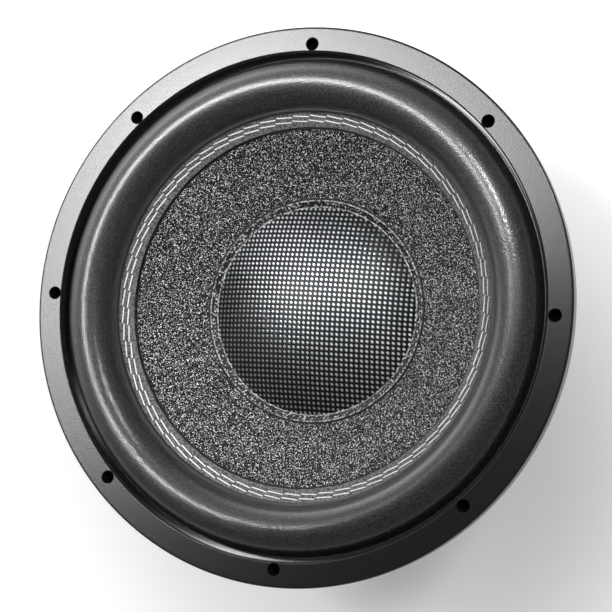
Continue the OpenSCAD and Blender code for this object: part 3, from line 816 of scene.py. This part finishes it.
# off the terminal's tab, down to the cloth, along its waves and up the former
def addLead(name, angle):
    over = halfCloth + lead["lift"]
    flat = spider["z"] + over
    end, z, former = lead["tabEnd"], lead["tabZ"], lead["formerR"]
    line = [(end + 3, z), (end + 1.2, z), (end - 0.5, z), (end - 1.4, z - 0.35)]
    line += [(end - 1.9, z - 1.2), (end - 2.4, z - 2.6), (end - 2.9, z - 4.1), (end - 3.4, z - 5.4)]
    line += [(end - 4, flat + 0.5), (end - 5.2, flat + 0.1)]
    line += [(r, clothZ(r) + over) for r in waveRs]
    line += [(former + 2.6, flat), (former + 1, flat + 0.7)]
    line += [(former + 0.4, flat + 2.2), (former + 0.3, flat + 3.8)]
    piece = drawLine(name, line, -lead["width"] / 2)
    bpy.ops.mesh.select_all(action="SELECT")
    step = (0, lead["width"] / lead["strips"] * mm, 0)
    for _ in range(lead["strips"]):
        bpy.ops.mesh.extrude_region_move(TRANSFORM_OT_translate={"value": step})
    bpy.ops.mesh.select_all(action="SELECT")
    bpy.ops.mesh.normals_make_consistent(inside=False)
    bpy.ops.object.mode_set(mode="OBJECT")
    if piece.data.polygons[0].normal.z < 0:
        piece.data.flip_normals()
    applyModifier(piece, "SOLIDIFY", thickness=lead["thick"] * mm, offset=1)
    applyModifier(
        piece, "BEVEL", width=lead["edge"] * mm, segments=2, limit_method="ANGLE",
        angle_limit=math.radians(60),
    )
    piece.rotation_euler = (0, 0, math.radians(angle))
    settle(piece)
    bpy.ops.object.shade_smooth_by_angle(angle=math.radians(50))
    dress(piece, braid)
    blendRing(piece)
    return piece


aside = math.degrees(math.asin(lead["aside"] / lead["tabEnd"]))
for side, coil in enumerate(coils):
    for pole, turnWay in zip(poles, (1, -1)):
        piece = addLead(f"{coil}_{pole}_tinsel", 90 + 180 * side + turnWay * aside)
        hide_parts(f"{coil}_{pole}_lead")
print("spider and leads built")


# the push buttons and the springs behind them
terminal = {
    "x": 8.5, "z": -51.5, "backOfButton": 112.5, "reach": 10, "buttonR": 4.5, "crown": 0.9,
    "collarR": 5, "collarH": 1.9, "groove": 0.3, "around": 48,
    "springFrom": 105.4, "springTo": 112.4, "springR": 3.4, "wireR": 0.35, "turns": 5,
    "wireSides": 8, "turnSteps": 24, "air": 0.1, "pressed": 3.5,
    "tones": {"red": ("#8e121b", "#c11f2a"), "black": ("#0b0b0c", "#1b1b1d")},
    "swirls": {"grainMm": 3, "detail": 3.0, "gloss": (0.18, 0.38)},
    "drawing": {"grainMm": 0.4, "detail": 2.0, "gloss": (0.2, 0.4)},  # lines drawn coarser
}
# moulded ABS, polished tool: clean colour under a soft gloss, with faint swirls from use
buttonAbs = {}
for pole, tones in terminal["tones"].items():
    look = dict(terminal["swirls"], tones=tones)
    buttonAbs[pole] = grainFinish(f"{pole}PolishedAbs", look, Specular_IOR_Level=0.55)
# drawn spring wire: bright steel with fine lines along it
springSteel = grainFinish(
    "drawnSpringSteel", terminal["drawing"], Metallic=1.0, Base_Color="#c3c6ca",
)


def addButton(name, coil, pole, x, way):
    r, reach, crown = terminal["buttonR"], terminal["reach"], terminal["crown"]
    collarR, collarH, waist = terminal["collarR"], terminal["collarH"], r - terminal["groove"]
    outline = [(0, 0), (collarR, 0), (collarR, collarH), (r, collarH)]
    outline += [(r, reach - 2.6), (waist, reach - 2.3), (waist, reach - 2.0), (r, reach - 1.7)]
    outline += arcPoints((r - crown, reach - crown), crown, 0, 90, 6)
    # the dish for the finger
    outline += [(r - 1.6, reach - 0.25), (r - 2.6, reach - 0.55)]
    outline += [(0.8, reach - 0.8), (0, reach - 0.8)]
    piece = spinOutline(name, outline, terminal["around"], closed=False, sharp=40)
    piece.rotation_euler = (math.radians(-90 * way), 0, 0)
    piece.location = (x * mm, way * terminal["backOfButton"] * mm, terminal["z"] * mm)
    settle(piece)
    dress(piece, buttonAbs[pole])
    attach(piece, f"{coil}_{pole}_button")
    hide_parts(f"{coil}_{pole}_button")


def addSpring(name, coil, pole, x, way):
    room = terminal["springTo"] - terminal["springFrom"]
    length = room - 2 * terminal["wireR"] - 2 * terminal["air"]
    clearSelection()
    bpy.ops.mesh.primitive_circle_add(
        vertices=terminal["wireSides"], radius=terminal["wireR"] * mm,
        location=(terminal["springR"] * mm, 0, 0), rotation=(math.radians(90), 0, 0),
    )
    piece = bpy.context.object
    piece.name = name
    settle(piece)
    applyModifier(
        piece, "SCREW", axis="Z", steps=terminal["turnSteps"], render_steps=terminal["turnSteps"],
        iterations=terminal["turns"], screw_offset=length / terminal["turns"] * mm,
        use_normal_calculate=True,
    )
    # both ends of the wire are closed
    pick(piece)
    bpy.ops.object.mode_set(mode="EDIT")
    bpy.ops.mesh.select_all(action="SELECT")
    bpy.ops.mesh.remove_doubles(threshold=0.002 * mm)
    bpy.ops.mesh.select_all(action="DESELECT")
    bpy.ops.mesh.select_non_manifold(extend=False)
    bpy.ops.mesh.fill_holes(sides=16)
    closeMesh(piece)
    piece.rotation_euler = (math.radians(-90 * way), 0, 0)
    seat = terminal["springFrom"] + terminal["wireR"] + terminal["air"]
    piece.location = (x * mm, way * seat * mm, terminal["z"] * mm)
    settle(piece)
    bpy.ops.object.shade_smooth_by_angle(angle=math.radians(60))
    dress(piece, springSteel)
    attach(piece, "frame")
    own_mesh(piece)
    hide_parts(f"{coil}_{pole}_spring")


for coil, way in zip(coils, (1, -1)):
    for pole, sign in zip(poles, (-1, 1)):
        x = sign * terminal["x"] * way
        addButton(f"{coil}_{pole}_push", coil, pole, x, way)
        addSpring(f"{coil}_{pole}_coilspring", coil, pole, x, way)
print("terminals built")


# finishes of the pieces behind the front; grains under 2 mm are drawn coarser so that they show
looks = {
    "coat": {
        "grainMm": 1.2, "detail": 2.0, "tones": ("#18191a", "#2c2d2f"), "gloss": (0.38, 0.55),
        "reliefMm": 0.08, "relief": 0.7,
    },
    "ferrite": {
        "grainMm": 1.5, "detail": 5.0, "tones": ("#1f2022", "#45474a"),
        "reliefMm": 0.1, "relief": 0.5,
    },
    "abs": {"grainMm": 0.5, "detail": 2.0, "gloss": (0.42, 0.6), "reliefMm": 0.05, "relief": 0.7},
    "oxide": {
        "grainMm": 2, "detail": 3.0, "tones": ("#3a3b3d", "#6f7175"), "gloss": (0.28, 0.5),
    },
    "zinc": {
        "ringMm": 0.9, "ringDepthMm": 0.02, "cloudMm": 9,
        "tones": ("#85888b", "#c0c2c2"), "gloss": (0.26, 0.46),
    },
    "rubber": {
        "skinMm": 0.9, "skinDepthMm": 0.08, "bloomMm": 30,
        "tones": ("#151516", "#2e2e30"), "gloss": (0.5, 0.72),
    },
    "brass": {
        "streakMm": (0.6, 6, 6), "tones": ("#a37f3a", "#dcb968"), "gloss": (0.22, 0.4),
    },
    "film": {"wrapMm": 6, "tones": ("#6a4313", "#93602a")},
    "copper": {"wireMm": 0.7, "wireDepthMm": 0.15, "tones": ("#6b2f12", "#c8733a")},
}
# cast aluminium, powder coated black: satin with a fine orange peel
powderCoat = grainFinish("blackPowderCoat", looks["coat"], Specular_IOR_Level=0.5)
# sintered ferrite, ground: dull charcoal with small pits
ferrite = grainFinish("groundFerrite", looks["ferrite"], Roughness=0.6)
# moulded ABS from a spark-eroded tool: even matt black grain
mattAbs = grainFinish(
    "sparkErodedAbs", looks["abs"], Base_Color="#1a1a1c", Specular_IOR_Level=0.5,
)
# alloy steel screws, black oxide: dark, slightly brown, oily gloss
oxide = grainFinish("blackOxideSteel", looks["oxide"], Metallic=1.0)

# turned and zinc plated steel: fine rings from the lathe, slightly cloudy plating
look = looks["zinc"]
zinc, tree, shader = newMaterial("turnedZincSteel", Metallic=1.0)
place = addNode(tree, "TexCoord").outputs["Object"]
flat = addNode(tree, "VectorMath", {0: place, 1: (1, 1, 0)}, operation="MULTIPLY")
radius = addNode(tree, "VectorMath", {0: flat.outputs[0]}, operation="LENGTH")
ring = addNode(tree, "Math", {
    0: radius.outputs["Value"], 1: 2 * math.pi / (look["ringMm"] * mm),
}, operation="MULTIPLY")
ring = addNode(tree, "Math", {0: ring.outputs[0]}, operation="SINE")
cloud = addNode(tree, "TexNoise", {
    "Vector": place, "Scale": 1 / (look["cloudMm"] * mm), "Detail": 4.0,
}).outputs["Fac"]
tone = addNode(tree, "Mix", {
    0: cloud, 6: hexColor(look["tones"][0]), 7: hexColor(look["tones"][1]),
}, data_type="RGBA")
gloss = addNode(tree, "MapRange", {
    "Value": cloud, "To Min": look["gloss"][0], "To Max": look["gloss"][1],
})
rise = addNode(tree, "Bump", {
    "Height": ring.outputs[0], "Distance": look["ringDepthMm"] * mm, "Strength": 0.5,
})
plug(
    tree, shader, Base_Color=tone.outputs[2], Roughness=gloss.outputs[0],
    Normal=rise.outputs["Normal"],
)

# moulded EPDM rubber: dull black with a dusty bloom and a fine spark-eroded skin
look = looks["rubber"]
rubber, tree, shader = newMaterial("mouldedRubber", Specular_IOR_Level=0.4)
place = addNode(tree, "TexCoord").outputs["Object"]
skin = addNode(tree, "TexNoise", {
    "Vector": place, "Scale": 1 / (look["skinMm"] * mm), "Detail": 3.0,
})
bloom = addNode(tree, "TexNoise", {
    "Vector": place, "Scale": 1 / (look["bloomMm"] * mm), "Detail": 3.0,
}).outputs["Fac"]
tone = addNode(tree, "Mix", {
    0: bloom, 6: hexColor(look["tones"][0]), 7: hexColor(look["tones"][1]),
}, data_type="RGBA")
gloss = addNode(tree, "MapRange", {
    "Value": bloom, "To Min": look["gloss"][0], "To Max": look["gloss"][1],
})
rise = addNode(tree, "Bump", {
    "Height": skin.outputs["Fac"], "Distance": look["skinDepthMm"] * mm, "Strength": 0.7,
})
plug(
    tree, shader, Base_Color=tone.outputs[2], Roughness=gloss.outputs[0],
    Normal=rise.outputs["Normal"],
)

# rolled brass strip: warm, with soft streaks
look = looks["brass"]
brass, tree, shader = newMaterial("rolledBrass", Metallic=1.0)
rolled = addNode(tree, "Mapping", {
    "Vector": addNode(tree, "TexCoord").outputs["Object"],
    "Scale": [1 / (size * mm) for size in look["streakMm"]],
})
streak = addNode(tree, "TexNoise", {
    "Vector": rolled.outputs[0], "Scale": 1.0, "Detail": 3.0,
}).outputs["Fac"]
tone = addNode(tree, "Mix", {
    0: streak, 6: hexColor(look["tones"][0]), 7: hexColor(look["tones"][1]),
}, data_type="RGBA")
gloss = addNode(tree, "MapRange", {
    "Value": streak, "To Min": look["gloss"][0], "To Max": look["gloss"][1],
})
plug(tree, shader, Base_Color=tone.outputs[2], Roughness=gloss.outputs[0])

# polyimide film wound into a tube: clear amber brown with wrap lines
look = looks["film"]
film, tree, shader = newMaterial("polyimideFilm", Specular_IOR_Level=0.6, Roughness=0.3)
parts = addNode(tree, "SeparateXYZ", {0: addNode(tree, "TexCoord").outputs["Object"]})
wrap = addNode(tree, "Math", {
    0: parts.outputs["Z"], 1: 2 * math.pi / (look["wrapMm"] * mm),
}, operation="MULTIPLY")
wrap = addNode(tree, "Math", {0: wrap.outputs[0]}, operation="SINE")
lift = addNode(tree, "MapRange", {"Value": wrap.outputs[0], "From Min": -1.0, "From Max": 1.0})
tone = addNode(tree, "Mix", {
    0: lift.outputs[0], 6: hexColor(look["tones"][0]), 7: hexColor(look["tones"][1]),
}, data_type="RGBA")
plug(tree, shader, Base_Color=tone.outputs[2])

# enamelled copper wire, wound turn by turn: fine level rings of orange brown
look = looks["copper"]
copper, tree, shader = newMaterial(
    "enamelledCopper", Metallic=1.0, Coat_Weight=0.4, Roughness=0.3,
)
parts = addNode(tree, "SeparateXYZ", {0: addNode(tree, "TexCoord").outputs["Object"]})
wind = addNode(tree, "Math", {
    0: parts.outputs["Z"], 1: 2 * math.pi / (look["wireMm"] * mm),
}, operation="MULTIPLY")
wind = addNode(tree, "Math", {0: wind.outputs[0]}, operation="SINE")
lift = addNode(tree, "MapRange", {"Value": wind.outputs[0], "From Min": -1.0, "From Max": 1.0})
tone = addNode(tree, "Mix", {
    0: lift.outputs[0], 6: hexColor(look["tones"][0]), 7: hexColor(look["tones"][1]),
}, data_type="RGBA")
rise = addNode(tree, "Bump", {
    "Height": wind.outputs[0], "Distance": look["wireDepthMm"] * mm, "Strength": 1.0,
})
plug(tree, shader, Base_Color=tone.outputs[2], Normal=rise.outputs["Normal"])

# the casting and the terminal blocks keep their CAD shape, with the sharp edges broken
softened = {
    "basket": {"name": "castBasket", "width": 0.6, "slot": "basket", "material": powderCoat},
    "flange": {"name": "castFlange", "width": 0.4, "slot": "basket", "material": powderCoat},
    "coil_a_terminal": {"name": "coil_a_block", "width": 0.3, "slot": "terminal", "material": mattAbs},
    "coil_b_terminal": {"name": "coil_b_block", "width": 0.3, "slot": "terminal", "material": mattAbs},
}


def breakEdges(node, name, width, slot, material):
    piece = bpy.data.objects.new(name, cadNodes[node].data.copy())
    bpy.context.collection.objects.link(piece)
    pick(piece)
    bpy.ops.object.mode_set(mode="EDIT")
    bpy.ops.mesh.select_all(action="SELECT")
    bpy.ops.mesh.remove_doubles(threshold=0.01 * mm)
    bpy.ops.mesh.dissolve_limited(angle_limit=math.radians(0.5))
    bpy.ops.mesh.normals_make_consistent(inside=False)
    bpy.ops.object.mode_set(mode="OBJECT")
    applyModifier(
        piece, "BEVEL", width=width * mm, segments=2, limit_method="ANGLE",
        angle_limit=math.radians(40), use_clamp_overlap=True,
    )
    pick(piece)
    bpy.ops.object.shade_smooth_by_angle(angle=math.radians(35))
    dress(piece, material)
    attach(piece, "frame")
    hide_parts(node)


for node, look in softened.items():
    breakEdges(node, **look)

# the other CAD nodes are shown as they are
finishes = {
    powderCoat: ("vent_screen",),
    zinc: ("front_plate", "pole_yoke"),
    ferrite: ("front_magnet", "rear_magnet"),
    rubber: ("magnet_boot",),
    brass: ("coil_a_contacts", "coil_b_contacts"),
    oxide: ("motor_screws", "terminal_screws"),
    film: ("coil_former",),
    copper: ("inner_winding", "outer_winding"),
}
for material, names in finishes.items():
    for name in names:
        for place in cadNodes[name].material_slots:
            place.material = material
print("finishes set")
